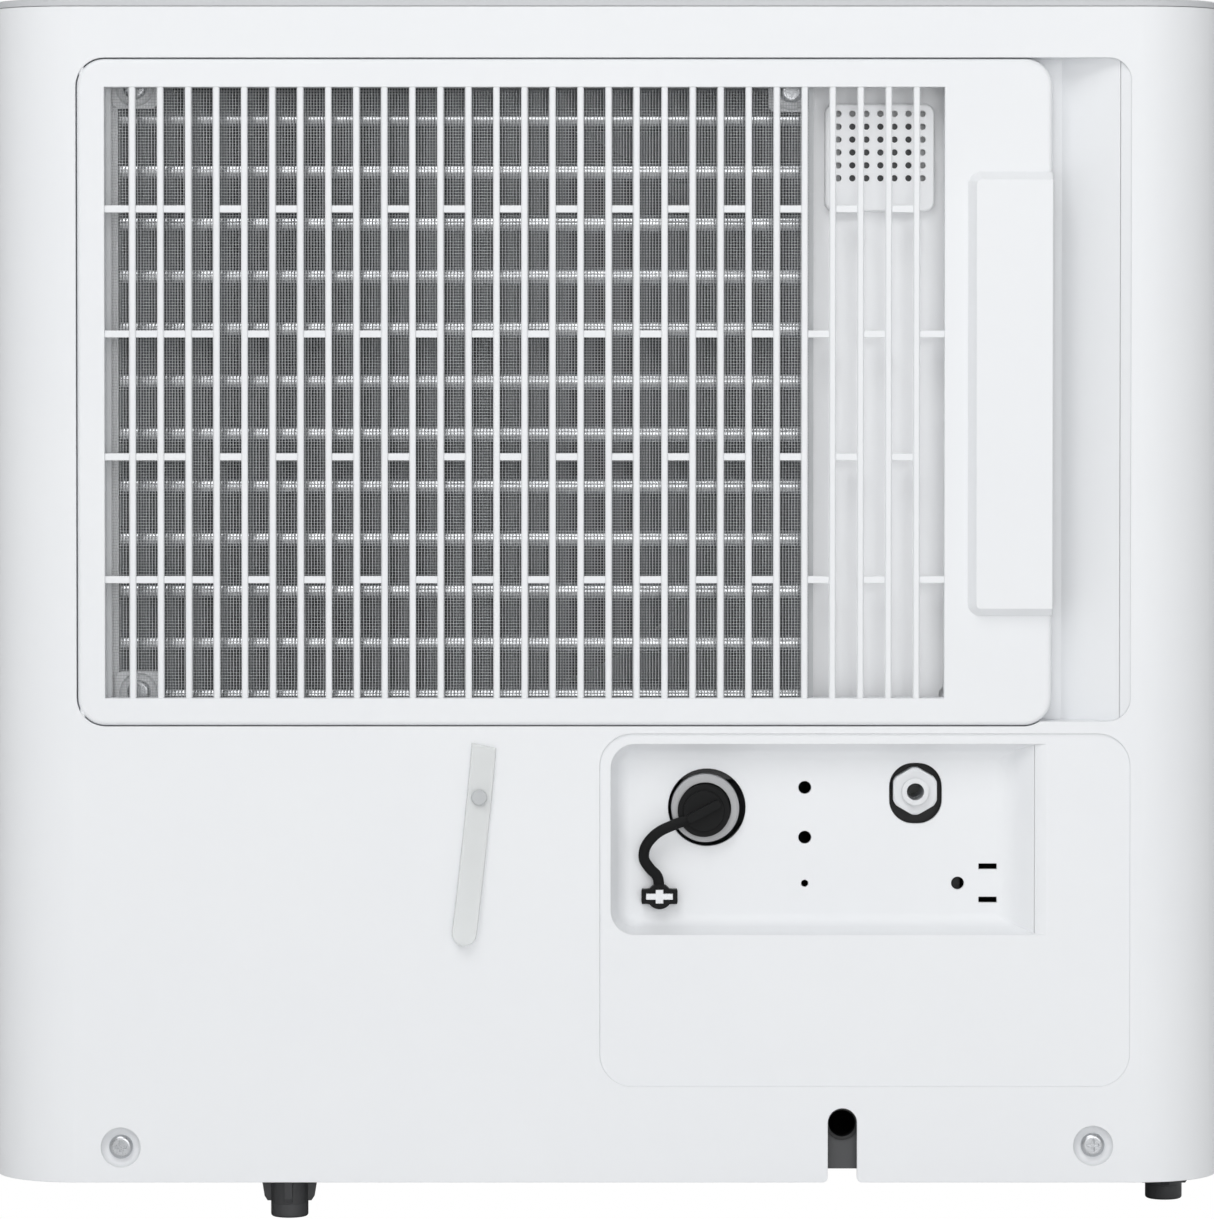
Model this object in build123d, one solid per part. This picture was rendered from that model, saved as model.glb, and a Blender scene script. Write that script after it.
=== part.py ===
from build123d import *
import math
import os

# A compact floor-standing compressor unit that draws damp air in through its rear face.
# Sizes are millimetres. The intake face looks along -Y, +X is to its right, +Z is up,
# and the floor is z = 0. The origin is under the middle of the machine.

# ---- driving dimensions -------------------------------------------------------------

# casing
CASE_W = 490.0
REAR_Y = -170.0
FRONT_Y = 175.0
CASE_R = 33.0
WALL = 2.6
SEAM_Y = 35.0
SEAM_GAP = 0.4
SHELL_BOTTOM = 17.0
SHELL_TOP = 483.5
LID_BOTTOM = 483.7
LID_TOP = 486.5
LID_EDGE = 1.2
LINER = 2.5
EDGE = 0.6

# filter door and its pocket
DOOR_X0 = -209.9
DOOR_X1 = 176.2
DOOR_Z0 = 198.8
DOOR_Z1 = 462.9
DOOR_R = 11.0
DOOR_GAP = 0.4
DOOR_SKIN = 2.5
DOOR_EDGE = 1.8
DOOR_DEPTH = 11.5
RECESS_DEPTH = 13.0
POCKET_X1 = 207.5
POCKET_Z0 = 200.4
POCKET_Z1 = DOOR_Z1 + DOOR_GAP
POCKET_R = 9.0
RAMP_X = 181.0
HINGE_X = -208.0
HINGE_Y = -168.6
HINGE_PIN_R = 1.0
HINGE_HOLE_R = 1.06
WINDOW_X0 = -204.0
WINDOW_X1 = 141.0
WINDOW_Z0 = 201.4
WINDOW_Z1 = 460.4

# grille in the door
GRILLE_X0 = -199.0
GRILLE_X1 = 133.7
GRILLE_Z0 = 209.6
GRILLE_Z1 = 451.7
GRILLE_CELLS = 30
BAR_W = 2.65
BAR_DEPTH = 5.0
CROSS_H = 2.8
CROSS_Z = (403.5, 354.0, 305.3, 256.6)
HANDLE_X0 = 143.0
HANDLE_Z0 = 242.3
HANDLE_Z1 = 418.1
HANDLE_RISE = 5.0
HANDLE_SLOPE = 3.0

# coils
COIL_X0 = -194.0
COIL_X1 = 79.0
TUBE_ROWS = 12
TUBE_PITCH = 21.0
TOP_ROW_Z = 440.0
TUBE_R = 4.0
BEND_R = 10.4
STUB_X = 97.0
EVAPORATOR_Y = -138.0
FRONT_ROW_Y = -143.5
CONDENSER_Y = -110.0
FIN_DEPTH = 22.0
FRAME_Y = -153.0
SENSOR_X0 = 86.6
SENSOR_X1 = 130.3
SENSOR_Z0 = 402.7
SENSOR_Z1 = 445.5

# hose recess
STEP_DEPTH = 0.7
HOSE_X0 = 1.2
HOSE_X1 = 166.3
HOSE_Z0 = 115.2
HOSE_Z1 = 191.6
HOSE_R = 10.0
HOSE_DEPTH = 12.0
HOSE_SLOPE = 4.0
HOSE_SOFT = 5.0
HOSE_FLOOR_Y = REAR_Y + HOSE_DEPTH
SPOUT_X = 39.1
SPOUT_Z = 165.3
SPOUT_R = 13.5
SPOUT_BORE_R = 10.3
PLUG_R = 10.15
FITTING_X = 122.7
FITTING_Z = 171.9
FITTING_Y = -161.0
TETHER_X = 20.9
TETHER_Z = 130.0
FITTING_BORE_R = 3.3
HEX_ACROSS = 17.3

# base, feet and fasteners
BASE_INSET = WALL + 3.2
BASE_WALL = 2.5
BASE_BOTTOM = 21.7
BASE_FLOOR = 24.2
BASE_TOP = 62.0
FOOT_R = 7.5
FOOT_TOP = 5.5
FEET = ((-127.4, -145.0), (228.0, -97.0), (-200.0, 138.0), (200.0, 138.0))
SCREW_SPOTS = ((-193.2, 30.9), (193.1, 31.6))
CORD_X = 93.5
CORD_Z = 39.9
CORD_R = 5.3
NOTCH_R = 5.8
NOTCH_CORNER = 2.0
NOTCH_Z = CORD_Z + 0.8

# cord strap
STUD_X = -50.6
STUD_Z = 170.4
STUD_R = 2.0

# fan and outlet
FAN_X = -57.5
FAN_Z = 325.0
SCROLL_R = 120.0
SCROLL_Y0 = -90.0
SCROLL_Y1 = -26.0
SCROLL_TOP = 468.0
FAN_R = 78.0
FAN_BLADES = 32
SHAFT_R = 4.0
OUTLET_X0 = -180.0
OUTLET_X1 = -60.0
OUTLET_Y0 = -92.0
OUTLET_Y1 = -24.0
LOUVRE_PITCH = 21.0
LOUVRE_W = 20.2
LOUVRE_Z = 482.0
LOUVRE_END_X = -68.0
CRANK = 10.0
PIVOT_R = 1.5
CRANK_PIN_R = 1.2

# controls
PANEL_Y = 125.0
PANEL_W = 230.0
PANEL_D = 50.0
PANEL_TOP = 486.2
BUTTON_W = 17.0
BUTTON_D = 9.0
BUTTON_TOP = 486.9
BUTTONS = {"power": -92.0, "mode": -64.0, "fan": 52.0, "down": 74.0, "up": 96.0}

# bucket
BUCKET_X0 = -200.0
BUCKET_X1 = 84.0
BUCKET_Y0 = -45.0
BUCKET_Y1 = 146.0
BUCKET_Z0 = 25.0
BUCKET_Z1 = 168.0
BUCKET_WALL = 2.4
BUCKET_FRONT_TOP = 172.0

# compressor
COMP_X = 165.0
COMP_Y = 10.0
COMP_R = 46.0
COMP_TOP = 215.0
GROMMET_ANGLES = (90, 210, 330)


# ---- shape helpers ------------------------------------------------------------------

def block(x0, x1, y0, y1, z0, z1):
    """A box between two corners."""
    centre = Pos((x0 + x1) / 2, (y0 + y1) / 2, (z0 + z1) / 2)
    return centre * Box(x1 - x0, y1 - y0, z1 - z0)


def rod_x(y, z, radius, x0, x1):
    """A cylinder along X."""
    return Pos((x0 + x1) / 2, y, z) * Rot(0, 90, 0) * Cylinder(radius, x1 - x0)


def rod_y(x, z, radius, y0, y1):
    """A cylinder along Y."""
    return Pos(x, (y0 + y1) / 2, z) * Rot(90, 0, 0) * Cylinder(radius, y1 - y0)


def rod_z(x, y, radius, z0, z1):
    """A cylinder along Z."""
    return Pos(x, y, (z0 + z1) / 2) * Cylinder(radius, z1 - z0)


def slab(x0, x1, z0, z1, radius, y0, y1):
    """A rounded rectangle seen from the intake side, thick from y0 to y1."""
    plane = Plane(origin=((x0 + x1) / 2, y1, (z0 + z1) / 2), x_dir=(1, 0, 0), z_dir=(0, -1, 0))
    return extrude(plane * RectangleRounded(x1 - x0, z1 - z0, radius), amount=y1 - y0)


def drafted(x0, x1, z0, z1, radius, y0, y1, slope):
    """A slab that is full size at y0 and smaller by slope all round at y1."""
    direction = 1 if y1 > y0 else -1
    depth = abs(y1 - y0)
    plane = Plane(origin=((x0 + x1) / 2, y0, (z0 + z1) / 2), x_dir=(1, 0, 0), z_dir=(0, direction, 0))
    angle = math.degrees(math.atan(slope / depth))
    return extrude(plane * RectangleRounded(x1 - x0, z1 - z0, radius), amount=depth, taper=angle)


def flat_pad(x0, x1, y0, y1, radius, z0, z1):
    """A rounded rectangle seen from above, thick from z0 to z1."""
    outline = RectangleRounded(x1 - x0, y1 - y0, radius)
    return extrude(Pos((x0 + x1) / 2, (y0 + y1) / 2, z0) * outline, amount=z1 - z0)


def plan_prism(points, z0, z1):
    """An outline given in X and Y, thick from z0 to z1."""
    return extrude(Pos(0, 0, z0) * Polygon(*points, align=None), amount=z1 - z0)


def pipe(points, radius, bends):
    """A round bar along straight runs joined by tangent arcs."""
    path = FilletPolyline(*points, radius=bends)
    section = Plane(origin=path @ 0, z_dir=path % 0) * Circle(radius)
    return sweep(section, path=path)


def shell_plan(inset):
    """The casing's outline from above, moved in by inset."""
    depth = FRONT_Y - REAR_Y
    outline = RectangleRounded(CASE_W - 2 * inset, depth - 2 * inset, CASE_R - inset)
    return Pos(0, (FRONT_Y + REAR_Y) / 2) * outline


def ring_between(outer_inset, inner_inset, z0, z1):
    """A wall that follows the casing's outline."""
    return extrude(Pos(0, 0, z0) * (shell_plan(outer_inset) - shell_plan(inner_inset)), amount=z1 - z0)


# ---- casing -------------------------------------------------------------------------

def door_recess(grow):
    """The pocket for the filter door, with a ramp for the fingers at its right."""
    front = REAR_Y - 1
    floor = REAR_Y + RECESS_DEPTH + grow
    edge = DOOR_GAP + grow
    radius = DOOR_R + edge
    seat = slab(DOOR_X0 - edge, DOOR_X1 + edge, DOOR_Z0 - edge, DOOR_Z1 + edge, radius, front, floor)
    pocket = slab(RAMP_X - 50, POCKET_X1 + grow, POCKET_Z0 - grow, POCKET_Z1 + grow, POCKET_R + grow,
                  front, floor)
    lip = REAR_Y + EDGE + grow
    ramp = [(-CASE_W, front), (POCKET_X1 + grow, front), (POCKET_X1 + grow, lip)]
    ramp += [(RAMP_X + grow, floor), (-CASE_W, floor)]
    return (seat + pocket) & plan_prism(ramp, 0, LID_TOP)


def hose_recess(grow):
    """The pocket round the drain outlets, with soft inner edges and one long gentle wall at its right."""
    front = REAR_Y
    floor = HOSE_FLOOR_Y + grow
    left = HOSE_X0 - grow
    right = HOSE_X1 + grow
    radius = HOSE_R + grow
    bowl = drafted(left, right + 22, HOSE_Z0 - grow, HOSE_Z1 + grow, radius, front, floor, HOSE_SLOPE)
    bowl = fillet(bowl.faces().sort_by(Axis.Y)[-1].edges(), HOSE_SOFT + grow)
    start = (right + 8, front + STEP_DEPTH)
    end = (right - 11 - grow, floor)
    slope = Spline(start, end, tangents=((-1, 0.15), (-1, 0)))
    sides = Polyline(end, (left - 9, floor), (left - 9, front - 1), (right + 8, front - 1), start)
    ramp = extrude(make_face([slope, sides]), amount=LID_TOP)
    return bowl & ramp


def side_grip(side):
    """The lining of one hand grip and the hollow that it leaves."""
    outline = RectangleRounded(116, 34, 13)
    outer_plane = Plane(origin=(side * (CASE_W / 2 - 0.5), -38, 412), x_dir=(0, 1, 0), z_dir=(-side, 0, 0))
    hollow_plane = Plane(origin=(side * (CASE_W / 2 + 1), -38, 412), x_dir=(0, 1, 0), z_dir=(-side, 0, 0))
    lining = extrude(outer_plane * outline, amount=22.5)
    hollow = extrude(hollow_plane * RectangleRounded(111, 29, 10.5), amount=21.5)
    return lining, hollow


def notch_corner(side):
    """What is cut away to round one lower corner of the cord notch."""
    x = CORD_X + side * (NOTCH_R + NOTCH_CORNER)
    z = SHELL_BOTTOM + NOTCH_CORNER
    near, far = sorted((x, x - side * (NOTCH_CORNER + 0.1)))
    square = block(near, far, REAR_Y - 1, REAR_Y + 5, SHELL_BOTTOM - 1, z)
    return square - rod_y(x, z, NOTCH_CORNER, REAR_Y - 2, REAR_Y + 6)


def rear_cover():
    """Rear shell: openings for the door, drain cup and hand grips, a cord notch and two screw wells."""
    shell = ring_between(0, WALL, SHELL_BOTTOM, SHELL_TOP)
    shell = shell & block(-CASE_W, CASE_W, REAR_Y - 1, SEAM_Y, 0, LID_TOP)
    for x, z in SCREW_SPOTS:
        shell += rod_y(x, z, 10, REAR_Y + 1, REAR_Y + 5.4)
    shell += rod_y(STUD_X, STUD_Z, 5, REAR_Y + 1, REAR_Y + 7)
    for side in (-1, 1):
        shell -= side_grip(side)[1]
    shell -= slab(-2.9, POCKET_X1, 55.1, 195.5, 13, REAR_Y - 1, REAR_Y + STEP_DEPTH)
    shell -= door_recess(0)
    shell -= hose_recess(0)
    for z in (DOOR_Z0 + 1.4, DOOR_Z1 - 6):
        shell -= rod_z(HINGE_X, HINGE_Y, HINGE_HOLE_R, z, z + 4.6)
    for x, z in SCREW_SPOTS:
        well = rod_y(x, z, 7.9, REAR_Y - 1, REAR_Y + 3.2)
        shell -= fillet(well.faces().sort_by(Axis.Y)[-1].edges(), 2.9)
        shell -= rod_y(x, z, 2.6, REAR_Y, REAR_Y + 8)
    shell -= rod_y(STUD_X, STUD_Z, STUD_R + 0.05, REAR_Y - 1, REAR_Y + 10)
    shell -= block(CORD_X - NOTCH_R, CORD_X + NOTCH_R, REAR_Y - 1, REAR_Y + 5, 0, NOTCH_Z)
    for side in (-1, 1):
        shell -= notch_corner(side)
    return shell - rod_y(CORD_X, NOTCH_Z, NOTCH_R, REAR_Y - 1, REAR_Y + 5)


def inside_shell():
    """The space inside the shell's wall."""
    return extrude(shell_plan(WALL), amount=LID_TOP) & block(-CASE_W, CASE_W, REAR_Y, SEAM_Y, 0, LID_TOP)


def door_tray():
    """Shallow tray behind the rear face that the filter door sits in, with a window to the coils."""
    tray = (door_recess(LINER) & inside_shell()) - door_recess(0)
    return tray - block(WINDOW_X0, WINDOW_X1, REAR_Y, -150, WINDOW_Z0, WINDOW_Z1)


def recess_cups():
    """The cup round the drain outlets and the cup in each hand grip, flush with the shell's openings."""
    drain = (hose_recess(LINER) & inside_shell()) - hose_recess(0) - hose_recess_holes()
    cups = [drain + tether_key(0)]
    for side in (-1, 1):
        lining, hollow = side_grip(side)
        cups.append((lining & inside_shell()) - hollow)
    return Compound(cups)


def tether_key(grow):
    """The cross-shaped tab on the recess floor that the plug's tether hooks over."""
    y0 = HOSE_FLOOR_Y - 4.6
    y1 = HOSE_FLOOR_Y + 0.2
    x = TETHER_X
    z = TETHER_Z
    key = block(x - 5.3 - grow, x + 5.3 + grow, y0, y1, z - 1.2 - grow, z + 1.2 + grow)
    return key + block(x - 1.5 - grow, x + 1.5 + grow, y0, y1, z - 2.7 - grow, z + 2.7 + grow)


def hose_recess_holes():
    """The holes and slots through the floor of the drain recess."""
    y0 = HOSE_FLOOR_Y - 1
    y1 = HOSE_FLOOR_Y + LINER + 2
    holes = rod_y(SPOUT_X + 0.7, SPOUT_Z, 15.5, y0, y1)
    holes += slab(112.5, 133.5, 158.8, 183.0, 9.5, y0, y1)
    for x, z in ((78.85, 173.2), (78.85, 153.3), (139.8, 135.0)):
        holes += rod_y(x, z, 2.575, y0, y1)
    holes += rod_y(78.85, 134.9, 1.45, y0, y1)
    for z in (141.7, 128.4):
        holes += block(148.15, 155.45, y0, y1, z - 1.15, z + 1.15)
    return holes


def front_cover():
    """Front shell with the bucket opening and a tongue that laps inside the rear shell."""
    y0 = SEAM_Y + SEAM_GAP
    shell = ring_between(0, WALL, SHELL_BOTTOM, SHELL_TOP)
    shell += ring_between(WALL - 0.1, WALL + 2, BASE_TOP + 4, SHELL_TOP - 14) & block(
        -CASE_W, CASE_W, y0, SEAM_Y + 12, 0, LID_TOP)
    shell = shell & block(-CASE_W, CASE_W, y0, FRONT_Y + 1, 0, LID_TOP)
    shell += ring_between(WALL + 0.3, WALL + 2, BASE_TOP + 4, SHELL_TOP - 14) & block(
        -CASE_W, CASE_W, SEAM_Y - 9, SEAM_Y + 2, 0, LID_TOP)
    shell -= slab(BUCKET_X0 - 4, BUCKET_X1 + 4, BUCKET_Z0 - 0.6, BUCKET_FRONT_TOP + 0.6, 6, 150, FRONT_Y + 1)
    return shell - front_slots()


def front_slots():
    """A row of shallow styling grooves above the bucket."""
    grooves = Part()
    for step in range(9):
        z = 236 + step * 24
        grooves += slab(-190, 190, z - 1.2, z + 1.2, 1.1, FRONT_Y - 0.9, FRONT_Y + 1)
    return grooves


def top_lid():
    """Lid with the outlet and control panel openings and a rim that drops inside the shells."""
    lid = extrude(Pos(0, 0, LID_BOTTOM) * shell_plan(0), amount=LID_TOP - LID_BOTTOM)
    lid = fillet(lid.faces().sort_by(Axis.Z)[-1].edges(), LID_EDGE)
    lid += ring_between(WALL + 0.4, WALL + 2.2, LID_BOTTOM - 9, LID_BOTTOM)
    lid -= flat_pad(OUTLET_X0 - 2.3, OUTLET_X1 + 2.3, OUTLET_Y0 - 2.3, OUTLET_Y1 + 2.3, 2, 460, 490)
    half_w = PANEL_W / 2
    half_d = PANEL_D / 2
    return lid - flat_pad(-half_w, half_w, PANEL_Y - half_d, PANEL_Y + half_d, 10, 460, 490)


def base_pan():
    """Dark tray that carries the machinery, with screw bosses and a boss for the cord."""
    pan = extrude(Pos(0, 0, BASE_BOTTOM) * shell_plan(BASE_INSET), amount=BASE_TOP - BASE_BOTTOM)
    pan -= extrude(Pos(0, 0, BASE_FLOOR) * shell_plan(BASE_INSET + BASE_WALL), amount=BASE_TOP)
    pan -= block(BUCKET_X0 - 5, BUCKET_X1 + 5, 150, FRONT_Y, BASE_FLOOR, BASE_TOP + 1)
    for x, z in SCREW_SPOTS:
        pan += rod_y(x, z, 6, REAR_Y + BASE_INSET + 1, -148)
        pan -= rod_y(x, z, 1.95, REAR_Y, -146)
    pan += rod_y(CORD_X, CORD_Z, 10, REAR_Y + BASE_INSET, REAR_Y + BASE_INSET + BASE_WALL)
    return pan - rod_y(CORD_X, CORD_Z, CORD_R + 1.4, REAR_Y, -158)


def foot_post(x, y):
    """A round post with four thin gussets that narrow towards the floor."""
    top = BASE_BOTTOM
    post = rod_z(x, y, FOOT_R, FOOT_TOP, top)
    gusset = Polygon((-12.2, top), (12.2, top), (10.0, FOOT_TOP + 2.6), (8.8, FOOT_TOP + 0.8),
                     (-8.8, FOOT_TOP + 0.8), (-10.0, FOOT_TOP + 2.6), align=None)
    web = extrude(Plane.XZ * gusset, amount=1.6, both=True)
    return post + Pos(x, y, 0) * web + Pos(x, y, 0) * Rot(0, 0, 90) * web


def foot_posts():
    """The posts that carry the tray, one over each rubber foot."""
    return Compound([foot_post(x, y) for x, y in FEET])


def rubber_feet():
    """Four round feet under the posts."""
    feet = []
    for x, y in FEET:
        foot = rod_z(x, y, FOOT_R, 0, FOOT_TOP)
        feet.append(fillet(foot.faces().sort_by(Axis.Z)[0].edges(), 1.1))
    return Compound(feet)


def pan_screw(x, z, head_y, length):
    """A pan head screw that points along +Y, with a cross recess."""
    head = rod_y(x, z, 4.75, head_y, head_y + 2.4)
    head = fillet(head.faces().sort_by(Axis.Y)[0].edges(), 1.6)
    head -= block(x - 2.4, x + 2.4, head_y - 1, head_y + 1.7, z - 0.6, z + 0.6)
    head -= block(x - 0.6, x + 0.6, head_y - 1, head_y + 1.7, z - 2.4, z + 2.4)
    return head + rod_y(x, z, 1.9, head_y + 2.3, head_y + length)


def cover_screws():
    """The two screws that hold the rear cover to the base."""
    return Compound([pan_screw(x, z, REAR_Y + 0.8, 18) for x, z in SCREW_SPOTS])


def cord_grommet():
    """Sleeve that lines the hole where a power cord comes out."""
    face = REAR_Y + BASE_INSET
    sleeve = rod_y(CORD_X, CORD_Z, CORD_R + 1.35, face - 0.8, face + 5)
    sleeve += rod_y(CORD_X, CORD_Z, CORD_R + 3.5, face + BASE_WALL + 0.1, face + 5)
    return sleeve - rod_y(CORD_X, CORD_Z, CORD_R, face - 2, face + 6)


# ---- filter door --------------------------------------------------------------------

def grille_bar(x):
    """One upright bar with its front corners taken off."""
    half = BAR_W / 2
    y0 = REAR_Y + 0.2
    y1 = y0 + BAR_DEPTH
    outline = [(x - half + 0.4, y0), (x + half - 0.4, y0), (x + half, y0 + 0.5), (x + half - 0.2, y1)]
    outline += [(x - half + 0.2, y1), (x - half, y0 + 0.5)]
    return plan_prism(outline, GRILLE_Z0 - 1, GRILLE_Z1 + 1)


def grille_bridges():
    """Short level bars, staggered from row to row."""
    pitch = (GRILLE_X1 - GRILLE_X0) / GRILLE_CELLS
    bridges = []
    for row, z in enumerate(CROSS_Z):
        stagger = row % 2
        cells = list(range(1, 4 + stagger)) + list(range(5 + stagger, GRILLE_CELLS + 1, 2))
        for cell in cells:
            x0 = GRILLE_X0 + (cell - 1) * pitch
            y0 = REAR_Y + 1.0
            bridges.append(block(x0 - 0.2, x0 + pitch + 0.2, y0, y0 + 3.6, z - CROSS_H / 2, z + CROSS_H / 2))
    return bridges


def filter_door():
    """Lift-off door: frame, grille and raised hollow handle that opens at the right edge."""
    back = REAR_Y + DOOR_DEPTH
    door = slab(DOOR_X0, DOOR_X1, DOOR_Z0, DOOR_Z1, DOOR_R, REAR_Y, back)
    door = fillet(door.faces().sort_by(Axis.Y)[0].edges(), DOOR_EDGE)
    door -= slab(DOOR_X0 + 2, DOOR_X1 - 2, DOOR_Z0 + 2, DOOR_Z1 - 2, DOOR_R - 2, REAR_Y + DOOR_SKIN, back + 1)
    door += handle_bulge(0, HANDLE_RISE)
    door -= handle_bulge(2.2, HANDLE_RISE - 2.2)
    door -= block(DOOR_X1 - 3, DOOR_X1 + 5, REAR_Y + DOOR_SKIN, back + 1, HANDLE_Z0, HANDLE_Z1)
    door -= block(GRILLE_X0, GRILLE_X1, REAR_Y - 1, back, GRILLE_Z0, GRILLE_Z1)
    door += grille_rim()
    pitch = (GRILLE_X1 - GRILLE_X0) / GRILLE_CELLS
    bars = [grille_bar(GRILLE_X0 + step * pitch) for step in range(1, GRILLE_CELLS)]
    door = door + bars + grille_bridges()
    for z in (DOOR_Z0 + 1.9, DOOR_Z1 - 7.9):
        door += rod_z(HINGE_X, HINGE_Y, HINGE_PIN_R, z, z + 6)
    return door


def grille_rim():
    """A low rib behind the skin round the grille, which holds the filter."""
    y0 = REAR_Y + DOOR_SKIN - 0.5
    y1 = REAR_Y + 8
    rim = block(GRILLE_X0 - 2, GRILLE_X1 + 2, y0, y1, GRILLE_Z0 - 2, GRILLE_Z1 + 2)
    return rim - block(GRILLE_X0, GRILLE_X1, y0 - 1, y1 + 1, GRILLE_Z0, GRILLE_Z1)


def handle_bulge(inset, rise):
    """The raised grip, or with an inset the hollow behind it."""
    x0 = HANDLE_X0 + inset
    z0 = HANDLE_Z0 + inset
    z1 = HANDLE_Z1 - inset
    slope = HANDLE_SLOPE * rise / HANDLE_RISE
    start = REAR_Y + 0.01 if inset == 0 else REAR_Y
    bulge = drafted(x0, DOOR_X1 + 20, z0, z1, 5, start, REAR_Y - rise, slope)
    if inset > 0:
        bulge += block(x0, DOOR_X1 + 20, REAR_Y - 0.1, REAR_Y + DOOR_SKIN + 0.1, z0, z1)
        return bulge & block(x0 - 1, DOOR_X1 + 5, REAR_Y - 9, REAR_Y + 9, z0 - 1, z1 + 1)
    return bulge & block(x0 - 1, DOOR_X1, REAR_Y - 9, REAR_Y + 9, z0 - 1, z1 + 1)


def filter_mesh():
    """Fine washable mesh panel held behind the grille."""
    return block(GRILLE_X0 + 1, 81, REAR_Y + 8.2, REAR_Y + 9.2, GRILLE_Z0 - 3, GRILLE_Z1 + 3)


# ---- coils and their frame ----------------------------------------------------------

def row_z(row):
    """Height of one tube row, counted from the top."""
    return TOP_ROW_Z - row * TUBE_PITCH


def coil_tubes(y):
    """One tube that runs to and fro through the fins, with both ends at the right."""
    reach = BEND_R + 1
    points = [(STUB_X, y, row_z(0))]
    for row in range(TUBE_ROWS - 1):
        x = COIL_X0 - reach if row % 2 == 0 else COIL_X1 + reach
        points.append((x, y, row_z(row)))
        points.append((x, y, row_z(row + 1)))
    points.append((STUB_X, y, row_z(TUBE_ROWS - 1)))
    return pipe(points, TUBE_R, BEND_R)


def coil_fins(y, tube_y):
    """The fin pack, as one block with a hole for each tube row."""
    z1 = TOP_ROW_Z + TUBE_PITCH / 2
    z0 = z1 - TUBE_ROWS * TUBE_PITCH
    fins = block(COIL_X0, COIL_X1, y - FIN_DEPTH / 2, y + FIN_DEPTH / 2, z0, z1)
    holes = [rod_x(tube_y, row_z(row), TUBE_R + 0.15, COIL_X0 - 1, COIL_X1 + 1) for row in range(TUBE_ROWS)]
    return fins - holes


COIL_SCREW_SPOTS = ((-187.9, 452.0), (73.4, 450.6), (-186.8, 211.2))


def coil_frame():
    """White frame round the coils, with the blank panel beside them."""
    y1 = SCROLL_Y0 - 2
    frame = block(-214, 143, FRAME_Y, FRAME_Y + 2.5, 199, 462)
    window = block(-194.8, 79.6, FRAME_Y - 1, FRAME_Y + 3, 200, 456)
    frame -= window
    for x, z in COIL_SCREW_SPOTS:
        frame += slab(x - 9.2, x + 9.2, z - 8.3, z + 8.3, 3, FRAME_Y - 3.2, FRAME_Y + 2.5)
    frame += block(-214, -211.5, FRAME_Y, y1, 199, 462)
    frame += block(-214, 143, FRAME_Y, y1, 459.5, 462)
    for x, z in COIL_SCREW_SPOTS:
        dish = rod_y(x, z, 7.6, FRAME_Y - 4, FRAME_Y - 1.2)
        frame -= fillet(dish.faces().sort_by(Axis.Y)[-1].edges(), 1.6)
        frame -= rod_y(x, z, 1.95, FRAME_Y - 4, FRAME_Y + 4)
    frame -= rod_y(136, 210, 3.4, FRAME_Y - 1, FRAME_Y + 2)
    return frame


def coil_screws():
    """Screws in the corners of the coil frame."""
    return Compound([pan_screw(x, z, FRAME_Y - 3.7, 7.0) for x, z in COIL_SCREW_SPOTS])


def sensor_cover():
    """Perforated cap over the humidity sensor."""
    front = FRAME_Y - 4.5
    cap = block(SENSOR_X0, SENSOR_X1, front, FRAME_Y, SENSOR_Z0, SENSOR_Z1)
    cap = fillet(cap.edges().filter_by(Axis.Y), 4.0)
    cap = fillet(cap.faces().sort_by(Axis.Y)[0].edges(), 1.0)
    cap -= block(SENSOR_X0 + 1.5, SENSOR_X1 - 1.5, front + 1.4, FRAME_Y + 1, SENSOR_Z0 + 5, SENSOR_Z1 - 1.5)
    holes = []
    for column in range(7):
        for row in range(6):
            holes.append(rod_y(92.0 + column * 5.58, 441.5 - row * 5.12, 1.25, front - 1, FRAME_Y - 2))
    return cap - holes


def sensor_board():
    """Small circuit board with the sensor on it."""
    board = block(93, 124, FRAME_Y - 1.7, FRAME_Y - 0.1, 412, 440)
    return board + block(104, 112, FRAME_Y - 2.6, FRAME_Y - 1.6, 422, 430)


def drip_tray():
    """Trough under the coils, with a spout over the bucket and an outlet to the drain."""
    tray = block(-212, 100, -152, -28, 176, 196)
    tray -= block(-210, 98, -150, -30, 178, 197)
    tray += rod_z(-60, -37, 8, 170.5, 177)
    tray -= rod_z(-60, -37, 6, 170, 180)
    return tray - rod_z(SPOUT_X, -125, 5, 170, 180)


# ---- drain outlets ------------------------------------------------------------------

def drain_spout():
    """Outlet tube for a garden hose, fed from the drip tray."""
    spout = rod_y(SPOUT_X, SPOUT_Z, SPOUT_R, -163, -152.6)
    spout = chamfer(spout.faces().sort_by(Axis.Y)[0].edges(), 0.7)
    spout += rod_y(SPOUT_X, SPOUT_Z, 9, -153, -110)
    spout += rod_z(SPOUT_X, -125, 6.5, SPOUT_Z, 175.9)
    spout -= rod_y(SPOUT_X, SPOUT_Z, SPOUT_BORE_R, -164, -153.5)
    spout -= rod_y(SPOUT_X, SPOUT_Z, 7, -154, -112)
    return spout - rod_z(SPOUT_X, -125, 5, SPOUT_Z, 177)


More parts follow.
